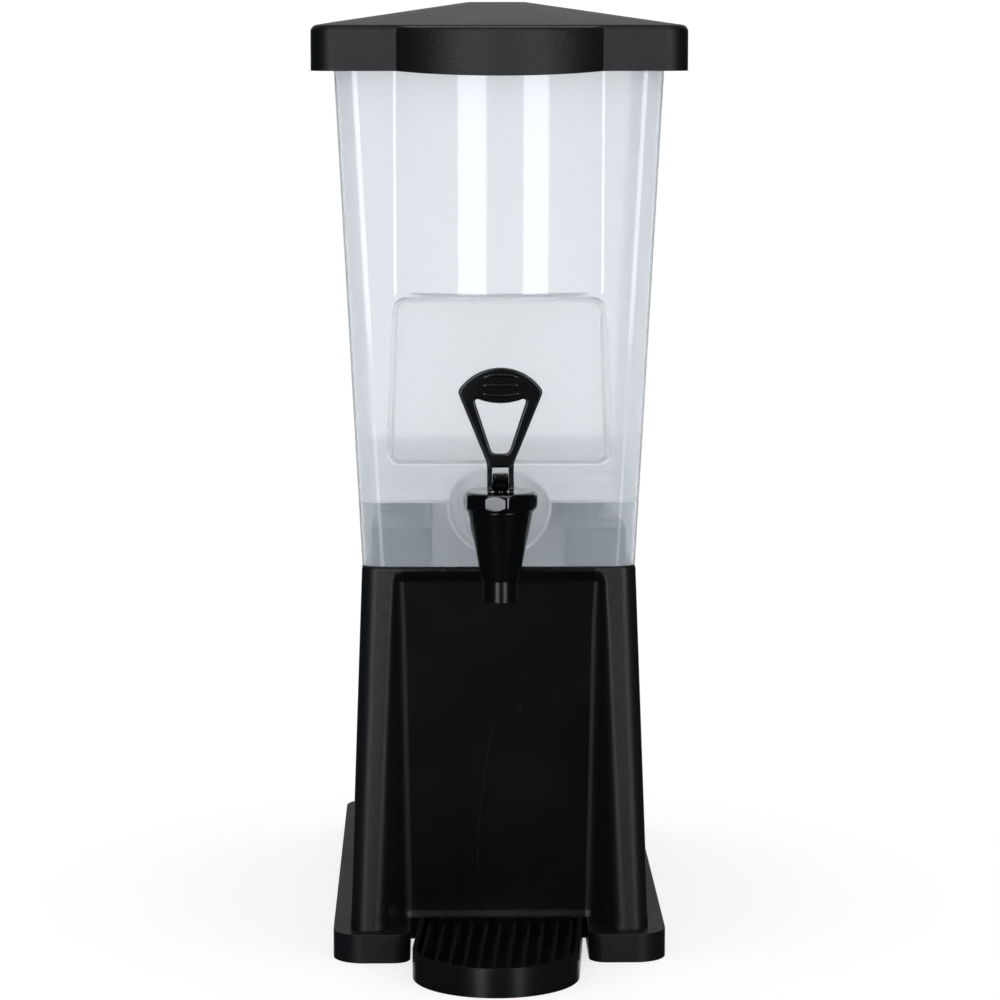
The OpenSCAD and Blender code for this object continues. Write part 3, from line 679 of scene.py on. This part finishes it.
def bonnet_shell():
    """The ten-sided cap that is screwed on the tap, its corners cut back above and below as on a nut."""
    bm = bmesh.new()
    facet = math.tau / BONNET_SIDES
    flat = BONNET_R * math.cos(facet / 2)
    middle = math.radians(270 - BONNET_TURN)
    steps = BONNET_SIDES * BONNET_FACET_STEPS
    turns = [math.tau * i / steps for i in range(steps)]
    rings = []
    for z, most in BONNET_CUT:
        reach = [min(flat / math.cos((a - middle + facet / 2) % facet - facet / 2), most) for a in turns]
        rings.append([bm.verts.new((r * math.cos(a), r * math.sin(a), z)) for r, a in zip(reach, turns)])
    loft(bm, rings + rings[:1])
    bmesh.ops.recalc_face_normals(bm, faces=bm.faces)
    bmesh.ops.translate(bm, vec=(0, TAP_Y, SHANK_Z + BONNET_LOW), verts=bm.verts)
    return bm


def mirrored(half, join=()):
    """A whole outline from the points of its right half, in order, and a run of points between the halves."""
    return half + list(join) + [(-x, y, r) for x, y, r in reversed(half)]


def grip_rib(bm, height, rise):
    """A half-round rib on the face of the grip, bowed up or down and fading at its ends."""
    turns = [math.radians(180 * k / FILLET_STEPS) for k in range(FILLET_STEPS + 1)]
    sunk = GRIP_RIB_H / 2
    y = TAP_Y - HANDLE_T / 2 + sunk
    rings = []
    for i in range(GRIP_RIB_STEPS + 1):
        share = 2 * i / GRIP_RIB_STEPS - 1
        fade = math.sqrt(max(1 - abs(share) ** GRIP_RIB_FADE, GRIP_RIB_END))
        out, half_w = (GRIP_RIB_H + sunk) * fade, GRIP_RIB_HALF_W * fade
        x, z = GRIP_RIB_HALF_L * share, PIN_Z + height + rise * (1 - share * share) - rise / 2
        rings.append([bm.verts.new((x, y - out * math.sin(a), z + half_w * math.cos(a))) for a in turns])
    loft(bm, rings)
    bm.faces.new(rings[0])
    bm.faces.new(rings[-1])


def handle_plate():
    """The lever: a looped grip with a forked foot whose toes press on the bonnet."""
    bm = bmesh.new()
    sweep = 180 - 2 * GRIP_ARC_FROM
    arc = [math.radians(GRIP_ARC_FROM + sweep * i / GRIP_ARC_STEPS) for i in range(GRIP_ARC_STEPS + 1)]
    crown = [(GRIP_ARC_R * math.cos(a), GRIP_ARC_Z + GRIP_ARC_R * math.sin(a), 0) for a in arc]
    rim = outline(mirrored(LOOP_HALF, crown))
    hole = outline(mirrored(HOLE_HALF, [HOLE_TOP]))[::-1]
    plate(bm, [rim, hole], HANDLE_T / 2, HANDLE_EDGE_R, lambda u, v, w: (u, TAP_Y - w, PIN_Z + v))
    for height, rise in GRIP_RIBS:
        grip_rib(bm, height, rise)
    # The fork's legs, each with a toe that rolls on the bonnet
    half_t = HANDLE_T / 2
    leg = [(half_t, FORK_TOP), (-half_t, FORK_TOP), (-half_t, CAM_RISE)]
    for i in reversed(range(CAM_STEPS + 1)):
        a = math.radians(CAM_TURN * i / CAM_STEPS)
        drop = CAM_R + CAM_RISE * a
        leg.append((-CAM_RISE * math.cos(a) - drop * math.sin(a), CAM_RISE * math.sin(a) - drop * math.cos(a)))
    heel = [math.radians(HEEL_TURN * i / CAM_STEPS - 90) for i in range(CAM_STEPS + 1)]
    leg += [(CAM_R * math.cos(a), CAM_R * math.sin(a)) for a in heel]
    for side in (-1, 1):
        x = side * (FORK_GAP + FORK_LEG_W) / 2
        plate(bm, [leg], FORK_LEG_W / 2, FORK_EDGE_R, lambda u, v, w: (x + w, TAP_Y + u, PIN_Z + v))
    bmesh.ops.recalc_face_normals(bm, faces=bm.faces)
    return bm


def stem_head():
    """The flat-sided head of the stem that fills the fork."""
    bm = bmesh.new()
    half_w, half_d, r = STEM_HEAD
    low, high = STEM_HEAD_Z
    bends = [(0, low)]
    for a in quarter_turn(EDGE_STEPS):
        bends.append((STEM_HEAD_R * (1 - math.cos(a)), high - STEM_HEAD_R * (1 - math.sin(a))))
    rings = []
    for inset, z in bends:
        plan = sum(rounded_corners(half_w - inset, half_d - inset, r - inset, CORNER_STEPS), [])
        rings.append([bm.verts.new((x, TAP_Y + y, z)) for x, y in plan])
    loft(bm, rings)
    bm.faces.new(rings[0])
    bm.faces.new(rings[-1])
    bmesh.ops.recalc_face_normals(bm, faces=bm.faces)
    return bm


# Effects that several finishes share
def effect(name, inputs, output):
    """An empty node group with number inputs, one number output and the object's own coordinates."""
    tree = bpy.data.node_groups.new(name, "ShaderNodeTree")
    for label, value in inputs.items():
        tree.interface.new_socket(label, in_out="INPUT", socket_type="NodeSocketFloat").default_value = value
    tree.interface.new_socket(output, in_out="OUTPUT", socket_type="NodeSocketFloat")
    ends = tree.nodes.new("NodeGroupInput"), tree.nodes.new("NodeGroupOutput")
    place = tree.nodes.new("ShaderNodeTexCoord").outputs["Object"]
    return tree, ends[0].outputs, ends[1].inputs[output], place


def feed(tree, socket, value):
    """Links an output to an input, or sets the input to a constant."""
    if isinstance(value, bpy.types.NodeSocket):
        tree.links.new(value, socket)
    else:
        socket.default_value = value


def add_node(tree, kind, settings=None, **values):
    """A shader node with its settings. Values go to its inputs by name, or by number as _0, _1 and so on."""
    node = tree.nodes.new("ShaderNode" + kind)
    for label, value in (settings or {}).items():
        setattr(node, label, value)
    for label, value in values.items():
        feed(tree, node.inputs[int(label[1:]) if label[1:].isdigit() else label.replace("_", " ")], value)
    return node


def maths(tree, operation, *values):
    node = tree.nodes.new("ShaderNodeMath")
    node.operation = operation
    for socket, value in zip(node.inputs, values):
        feed(tree, socket, value)
    return node.outputs[0]


def ramp(tree, value, given, made=(0.0, 1.0)):
    """Stretches a number from one range to another and stops at its ends."""
    node = add_node(
        tree, "MapRange", Value=value, From_Min=given[0], From_Max=given[1], To_Min=made[0], To_Max=made[1],
    )
    return node.outputs[0]


def moulded_grain():
    """Fine pebbles as a texture etched into the mould leaves them."""
    tree, given, out, place = effect("moulded grain", {"Scale": 800.0}, "Height")
    smooth = {"feature": "SMOOTH_F1"}
    pebbles = add_node(tree, "TexVoronoi", smooth, Vector=place, Scale=given["Scale"], Smoothness=0.6)
    broad = maths(tree, "MULTIPLY", given["Scale"], 0.4)
    drift = add_node(tree, "TexNoise", Vector=place, Scale=broad, Detail=2.0)
    tree.links.new(maths(tree, "ADD", pebbles.outputs["Distance"], drift.outputs[0]), out)
    return tree


def uneven_sheen():
    """Broad soft patches where the sheen is a little higher or lower."""
    tree, given, out, place = effect("uneven sheen", {"Scale": 14.0, "Low": 0.3, "High": 0.4}, "Roughness")
    patches = add_node(tree, "TexNoise", Vector=place, Scale=given["Scale"], Detail=4.0, Roughness=0.6)
    tree.links.new(ramp(tree, patches.outputs[0], (0.3, 0.7), (given["Low"], given["High"])), out)
    return tree


def hairlines():
    """Sparse thin scratches, mostly upright: the middle level of a noise, where a second one is high."""
    tree, given, out, place = effect("hairlines", {"Scale": 30.0, "Amount": 0.5}, "Mask")
    lean = add_node(tree, "Mapping", Vector=place, Rotation=(0.25, 0.35, 0.1), Scale=(1, 1, 0.12))
    streaks = add_node(tree, "TexNoise", Vector=lean.outputs[0], Scale=given["Scale"], Detail=1.0)
    middle = maths(tree, "ABSOLUTE", maths(tree, "SUBTRACT", streaks.outputs[0], 0.5))
    line = ramp(tree, middle, (0.0, 0.004), (1.0, 0.0))
    where = add_node(tree, "TexNoise", Vector=lean.outputs[0], Scale=45.0, Detail=0.0)
    few = ramp(tree, where.outputs[0], (0.62, 0.68))
    both = maths(tree, "MULTIPLY", line, few)
    tree.links.new(maths(tree, "MULTIPLY", both, given["Amount"]), out)
    return tree


def dust_specks():
    """A few pale specks of dust and lint, in the middle of some cells."""
    tree, given, out, place = effect("dust specks", {"Scale": 150.0, "Amount": 0.5}, "Mask")
    cells = add_node(tree, "TexVoronoi", Vector=place, Scale=given["Scale"])
    dot = ramp(tree, cells.outputs["Distance"], (0.05, 0.09), (1.0, 0.0))
    pick = add_node(tree, "SeparateColor", Color=cells.outputs["Color"])
    few = maths(tree, "GREATER_THAN", pick.outputs[0], 0.86)
    both = maths(tree, "MULTIPLY", dot, few)
    tree.links.new(maths(tree, "MULTIPLY", both, given["Amount"]), out)
    return tree


GRAIN = moulded_grain()
SHEEN = uneven_sheen()
HAIRLINES = hairlines()
SPECKS = dust_specks()


def mix_colours(tree, share, first, second):
    mix = add_node(tree, "Mix", {"data_type": "RGBA"}, _0=share, _6=(*first, 1), _7=(*second, 1))
    return mix.outputs[2]


def use_effect(tree, group, output, **values):
    node = tree.nodes.new("ShaderNodeGroup")
    node.node_tree = group
    for label, value in values.items():
        node.inputs[label].default_value = value
    return node.outputs[output]


# Finishes
DUST = (0.12, 0.125, 0.13)
MILKY = (0.95, 0.957, 0.965)
STAND_BLACK = (0.003, 0.0033, 0.004)
LID_BLACK = (0.002, 0.0022, 0.0026)
# Scales of the shared effects in 1/m, the grain's strength, and the milky plastic's grain and outer gloss
SPECK_SCALE = 160.0
SHEEN_SCALE = 16.0
HAIRLINE_SCALE = 30.0
GRAIN_STRENGTH = 0.6
MILKY_GRAIN = 260.0
MILKY_RELIEF = 0.00003
COAT_ROUGHNESS = 0.09
COAT_IOR = 1.5


def tune(mat, **values):
    """Sets constants of a finish on its shader."""
    for label, value in values.items():
        mat.node_tree.nodes["Principled BSDF"].inputs[label.replace("_", " ")].default_value = value


def plastic(name, colour, sheen, grain, relief, scratch=0.0, dust=0.0):
    """A moulded plastic. Sheen is its lowest and highest roughness, grain the scale of its texture in 1/m,
    relief the texture's height in metres, scratch and dust the strength of its hairlines and specks."""
    mat = bpy.data.materials.new(name)
    mat.use_nodes = True
    tree = mat.node_tree
    skin = tree.nodes["Principled BSDF"]
    if dust:
        specks = use_effect(tree, SPECKS, "Mask", Scale=SPECK_SCALE, Amount=dust)
        tree.links.new(mix_colours(tree, specks, colour, DUST), skin.inputs["Base Color"])
    else:
        skin.inputs["Base Color"].default_value = (*colour, 1)
    rough = use_effect(tree, SHEEN, "Roughness", Scale=SHEEN_SCALE, Low=sheen[0], High=sheen[1])
    if scratch:
        lines = use_effect(tree, HAIRLINES, "Mask", Scale=HAIRLINE_SCALE, Amount=scratch)
        rough = maths(tree, "ADD", rough, lines)
    tree.links.new(rough, skin.inputs["Roughness"])
    height = use_effect(tree, GRAIN, "Height", Scale=grain)
    bump = add_node(tree, "Bump", Height=height, Distance=relief, Strength=GRAIN_STRENGTH)
    tree.links.new(bump.outputs[0], skin.inputs["Normal"])
    return mat


def milky_plastic(name, sheen, through, ior, coat):
    """Translucent plastic. Through is the share of light that passes, coat the strength of its outer gloss."""
    mat = plastic(name, MILKY, sheen, MILKY_GRAIN, MILKY_RELIEF)
    tune(mat, Transmission_Weight=through, IOR=ior)
    tune(mat, Coat_Weight=coat, Coat_Roughness=COAT_ROUGHNESS, Coat_IOR=COAT_IOR)
    return mat


milky_finish = milky_plastic("milky container", (0.19, 0.24), through=0.83, ior=1.1, coat=1.0)
inside_finish = milky_plastic("milky inside", (0.2, 0.26), through=0.83, ior=1.1, coat=0.0)
floor_finish = milky_plastic("milky floor", (0.2, 0.26), through=0.55, ior=1.1, coat=0.6)
clear_finish = milky_plastic("milky stubs", (0.4, 0.5), through=0.99, ior=1.01, coat=0.0)
stand_finish = plastic("grained stand", STAND_BLACK, (0.36, 0.42), 1300.0, 0.00014, scratch=0.04, dust=0.12)
tune(stand_finish, Specular_IOR_Level=0.3)
# The niche's finish is smoother than the stand's, and its darker black is painted shade in the recess and on
# the band above it.
niche_shade_finish = plastic(
    "smooth niche with painted shade", (0.0012, 0.0014, 0.002), (0.18, 0.24), 1200.0, 0.00002, scratch=0.12, dust=0.1,
)
deck_finish = plastic("satin deck", STAND_BLACK, (0.28, 0.33), 1500.0, 0.00003, scratch=0.04, dust=0.1)
lid_finish = plastic("pebbled lid", LID_BLACK, (0.38, 0.43), 1400.0, 0.00026, dust=0.1)
tune(lid_finish, Specular_IOR_Level=0.29)
tray_finish = plastic("satin tray", LID_BLACK, (0.2, 0.26), 1500.0, 0.00002, scratch=0.05, dust=0.05)
bonnet_finish = plastic(
    "glossy bonnet", (0.0012, 0.0012, 0.0015), (0.08, 0.12), 600.0, 0.000005, scratch=0.05, dust=0.03,
)
tune(bonnet_finish, Specular_IOR_Level=0.7)
tap_finish = plastic(
    "satin tap", (0.0008, 0.0008, 0.001), (0.17, 0.23), 900.0, 0.00001, scratch=0.05, dust=0.03,
)
rubber_finish = plastic("gasket rubber", (0.02, 0.02, 0.022), (0.6, 0.7), 900.0, 0.0002)
silicone_finish = plastic("seat silicone", (0.6, 0.58, 0.53), (0.45, 0.55), 900.0, 0.0001)
steel_finish = plastic("drawn steel", (0.6, 0.61, 0.63), (0.19, 0.26), 1200.0, 0.00002, scratch=0.2)
tune(steel_finish, Metallic=1)

# Pieces
skin_shape = container_skin()
rim_shape = container_rim(skin_shape)
skin = add_piece("container_skin", skin_shape, "tank", milky_finish, ["container"])
skin.data.materials.append(inside_finish)
thin_wall(skin, SKIN_T, inside=1)
rim = add_piece("container_rim", rim_shape, "tank", milky_finish)
round_solid(rim, RIM_EDGE_R)
floor = add_piece("container_floor", container_floor(), "tank", floor_finish)
soft_edges(floor, SCOOP_EDGE_R)
thin_wall(floor, SKIN_T)
pad = add_piece("container_tap_pad", tap_pad(), "tank", milky_finish)
keep_flats(pad)
stubs = add_piece("container_stubs", container_stubs(), "tank", clear_finish)
round_solid(stubs, STUB_EDGE_R)

cover = add_piece("lid_shell", lid_shell(), "cover", lid_finish, ["lid"])
soft_edges(cover, LID_EDGE_R)
thin_wall(cover, LID_WALL)

stand = add_piece("stand_body", stand_body(), "stand", stand_finish, ["base_housing"])
stand.data.materials.append(niche_shade_finish)
stand.data.materials.append(deck_finish)
thin_wall(stand, STAND_WALL)
plinth = add_piece("stand_plinth", stand_plinth(), "stand", stand_finish)
thin_wall(plinth, STAND_WALL)
posts = add_piece("stand_posts", stand_posts(), "stand", stand_finish)
round_solid(posts, POST_EDGE_R)

spout = add_piece("tap_spout", tap_spout(), "tank", tap_finish, ["tap_body"])
round_solid(spout, SPOUT_EDGE_R, SPOUT_EDGE_ANGLE)
shank = add_piece("tap_shank", tap_shank(), "tank", tap_finish)
round_solid(shank, SHANK_EDGE_R)
bonnet = add_piece("tap_bonnet_cap", bonnet_shell(), "tank", bonnet_finish, ["tap_bonnet"])
keep_flats(bonnet)
lever = add_piece("tap_lever", handle_plate(), "lever", tap_finish, ["tap_handle"])
keep_flats(lever)
head = add_piece("tap_stem_head", stem_head(), "valve_stem", tap_finish)
keep_flats(head)

tray_shape = cad_shape("drip_tray")
tray = add_piece("drip_tray_moulding", tray_shape, "tray", tray_finish, ["drip_tray"])
round_solid(tray, TRAY_EDGE_R)

# The seat cup and the spring are their CAD shapes.
for name, node, slot, finish in [
    ("tap_seat_cup", "seat_cup", "silicone", silicone_finish),
    ("tap_stem_spring", "stem_spring", "spring_steel", steel_finish),
]:
    shape = cad_shape(node)
    piece = add_piece(name, shape, "tank", finish, [node])
    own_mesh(piece)

for node, finish in {
    "tap_stem": tap_finish, "shank_nut": tap_finish, "handle_pin": steel_finish,
    "outer_gasket": rubber_finish, "inner_gasket": rubber_finish,
}.items():
    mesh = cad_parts[node].data
    mesh.materials.clear()
    mesh.materials.append(finish)


# Studio
WHITE = (1, 1, 1, 1)
COOL_WHITE = (0.92, 0.96, 1.0)
# Lights: azimuth in degrees, distance, width, height and lower edge in metres, and radiance
SOFT_BOXES = {
    "left soft box": (-19.5, 2.0, 0.74, 2.3, -0.02, 5.5),
    "right soft box": (27.5, 2.0, 0.67, 2.3, -0.02, 5.5),
    "backdrop light": (180, 2.5, 4.0, 2.5, 1.0, 0.65),
    "low left light": (-19.5, 2.0, 0.4, 0.3, -0.42, 3.2),
    "low right light": (27.5, 2.0, 0.4, 0.3, -0.42, 2.4),
    "overhead light": (0, 0.5, 1.6, 1.0, 1.8, 2.0),
}
# Surroundings as seen, as light on dull faces, and as mirrored: a low bright band behind, dim elsewhere
SEEN_STRENGTH = 1.01
LIGHT_COLOUR = (0.5, 0.75, 1, 1)
LIGHT_STRENGTH = 1.4
BAND_STRENGTH = 0.9
DIM_COLOUR = (0.8, 0.9, 1, 1)
DIM_STRENGTH = 0.01
BAND_WIDTH = (0.85, 0.98)
BAND_TOP = (0.06, 0.16)
# The floor: its size in metres, its colour as seen and as it throws light back, and its glow
FLOOR_R = 1.6
FLOOR_SIDES = 96
FLOOR_SEEN = (0.42, 0.287, 0.218)
FLOOR_BOUNCE = (0.75, 0.75, 0.75)
FLOOR_ROUGHNESS = 0.9
FLOOR_GLOW = 0.72


def soft_box(name, azimuth, distance, width, height, low, radiance):
    """An upright light panel that faces the dispenser. Azimuth 0 is in front, and positive to the right."""
    light = bpy.data.lights.new(name, "AREA")
    light.shape = "RECTANGLE"
    light.size, light.size_y = width, height
    light.energy = radiance * math.pi * width * height
    light.color = COOL_WHITE
    lamp = bpy.data.objects.new(name, light)
    a = math.radians(azimuth)
    lamp.location = (distance * math.sin(a), -distance * math.cos(a), low + height / 2)
    lamp.rotation_euler = (math.radians(90), 0, a)
    lamp.visible_camera = False
    lamp.visible_diffuse = False
    lamp.visible_transmission = False
    bpy.context.scene.collection.objects.link(lamp)
    return lamp


for name, values in SOFT_BOXES.items():
    lamp = soft_box(name, *values)
    if name == "overhead light":
        lamp.rotation_euler = (0, 0, 0)

world = bpy.data.worlds.new("studio")
bpy.context.scene.world = world
world.use_nodes = True
air = world.node_tree
air.nodes.clear()
path = add_node(air, "LightPath")
white = add_node(air, "Background", Color=WHITE, Strength=SEEN_STRENGTH)
bright = add_node(air, "Background", Color=WHITE, Strength=BAND_STRENGTH)
dim = add_node(air, "Background", Color=DIM_COLOUR, Strength=DIM_STRENGTH)
soft = add_node(air, "Background", Color=LIGHT_COLOUR, Strength=LIGHT_STRENGTH)
lit = add_node(air, "MixShader", _0=path.outputs["Is Diffuse Ray"], _1=white.outputs[0], _2=soft.outputs[0])
glossy = maths(air, "SUBTRACT", path.outputs["Is Glossy Ray"], path.outputs["Is Transmission Ray"])
reflected = maths(air, "GREATER_THAN", glossy, 0.5)
way = add_node(air, "SeparateXYZ", Vector=add_node(air, "TexCoord").outputs["Generated"])
behind = ramp(air, way.outputs["Y"], BAND_WIDTH)
level = ramp(air, way.outputs["Z"], BAND_TOP, (1.0, 0.0))
band = maths(air, "MULTIPLY", behind, level)
around = add_node(air, "MixShader", _0=band, _1=dim.outputs[0], _2=bright.outputs[0])
both = add_node(air, "MixShader", _0=reflected, _1=lit.outputs[0], _2=around.outputs[0])
add_node(air, "OutputWorld", Surface=both.outputs[0])

ground = bpy.data.meshes.new("floor")
bm = bmesh.new()
bmesh.ops.create_circle(bm, cap_ends=True, segments=FLOOR_SIDES, radius=FLOOR_R)
bm.to_mesh(ground)
bm.free()
floor_disc = bpy.data.objects.new("floor", ground)
bpy.context.scene.collection.objects.link(floor_disc)
floor_disc.visible_glossy = False
floor_disc.visible_shadow = False
paper = bpy.data.materials.new("pale paper")
paper.use_nodes = True
fibre = paper.node_tree
sheet = fibre.nodes["Principled BSDF"]
tune(paper, Roughness=FLOOR_ROUGHNESS, Emission_Color=WHITE)
seen = add_node(fibre, "LightPath")
straight = maths(fibre, "MAXIMUM", seen.outputs["Is Camera Ray"], seen.outputs["Is Transmission Ray"])
glow = maths(fibre, "MULTIPLY", straight, FLOOR_GLOW)
bounce = mix_colours(fibre, seen.outputs["Is Diffuse Ray"], FLOOR_SEEN, FLOOR_BOUNCE)
fibre.links.new(bounce, sheet.inputs["Base Color"])
fibre.links.new(glow, sheet.inputs["Emission Strength"])
ground.materials.append(paper)

# Camera: its lens and film in millimetres, its place in metres, and how far it looks down and to the side
LENS = 133.2
FILM_W = 36
CAMERA_PLACE = (-0.0369, -2.2645, 0.5572)
CAMERA_DOWN = 7.62
CAMERA_TURN = -1.0

lens = bpy.data.cameras.new("camera")
lens.lens = LENS
lens.sensor_width = FILM_W
camera = bpy.data.objects.new("camera", lens)
camera.location = CAMERA_PLACE
camera.rotation_euler = (math.radians(90 - CAMERA_DOWN), 0, math.radians(CAMERA_TURN))
bpy.context.scene.collection.objects.link(camera)
bpy.context.scene.camera = camera
bpy.context.scene.view_settings.view_transform = "Standard"
